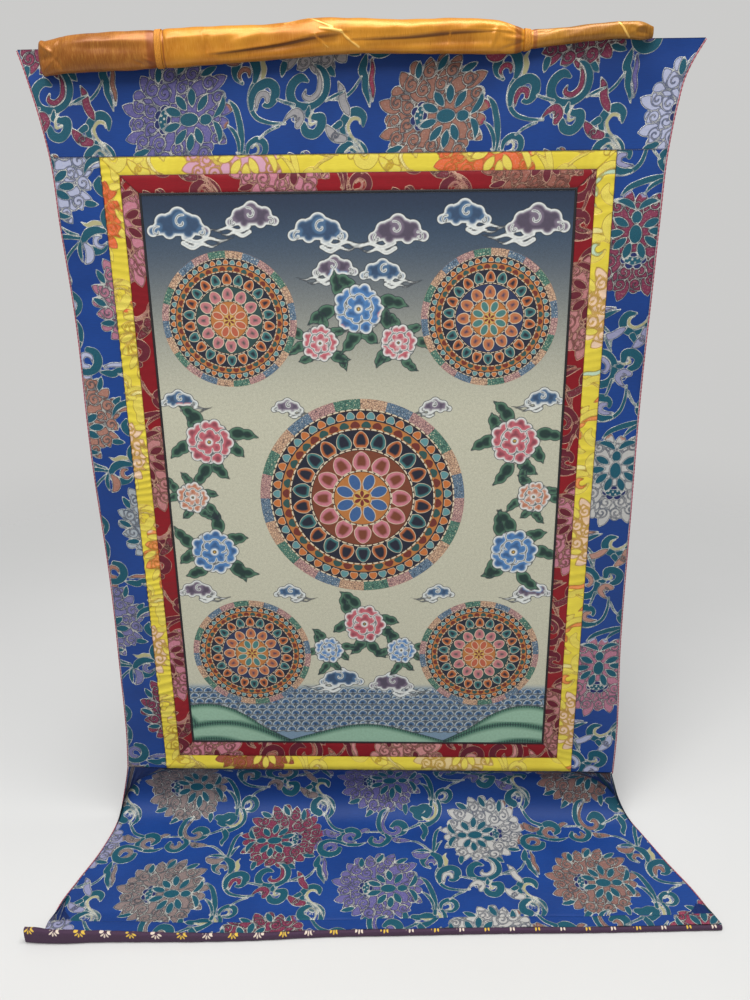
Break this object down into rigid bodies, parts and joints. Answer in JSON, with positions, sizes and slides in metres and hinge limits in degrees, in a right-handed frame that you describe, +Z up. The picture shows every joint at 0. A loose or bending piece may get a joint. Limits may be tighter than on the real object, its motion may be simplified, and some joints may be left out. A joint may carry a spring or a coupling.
{
  "type": "thangka scroll painting",
  "caption": "Hanging scroll painting on canvas, framed in red and yellow strips and blue brocade, with a rolled satin veil and a skirt swept forward.",
  "frame": {"origin": "middle of the blue cloth's top edge, where the scroll is held up", "axes": "+Z up along the hanging cloth, +X to the viewer's right, +Y to the back; the skirt's lower end reaches forward along -Y"},
  "size_m": [0.7728, 0.2298, 0.9327],
  "materials": {
    "painted_canvas": "painted cotton canvas, matt",
    "black_piping": "plain black cloth, matt",
    "red_brocade": "woven brocade with metallic outlines",
    "yellow_brocade": "satin-faced brocade",
    "blue_brocade": "woven brocade with metallic outlines",
    "edge_cord": "twisted cord",
    "veil_satin": "satin, soft sheen",
    "orange_tape": "woven tape",
    "lining_cotton": "printed cotton, matt"
  },
  "bodies": {
    "root": {"painted_canvas": "painted_canvas", "black_piping": "black_piping", "red_strip_top": "red_brocade", "red_strip_bottom": "red_brocade", "red_strip_left": "red_brocade", "red_strip_right": "red_brocade", "yellow_strip_top": "yellow_brocade", "yellow_strip_bottom": "yellow_brocade", "yellow_strip_left": "yellow_brocade", "yellow_strip_right": "yellow_brocade", "blue_top_band": "blue_brocade", "blue_side_left": "blue_brocade", "blue_side_right": "blue_brocade", "blue_skirt": "blue_brocade", "hem_binding": "lining_cotton", "edge_cord_left": "edge_cord", "edge_cord_right": "edge_cord", "veil_roll": "veil_satin", "veil_tape_left": "orange_tape", "veil_tape_right": "orange_tape"}
  },
  "joints": []
}
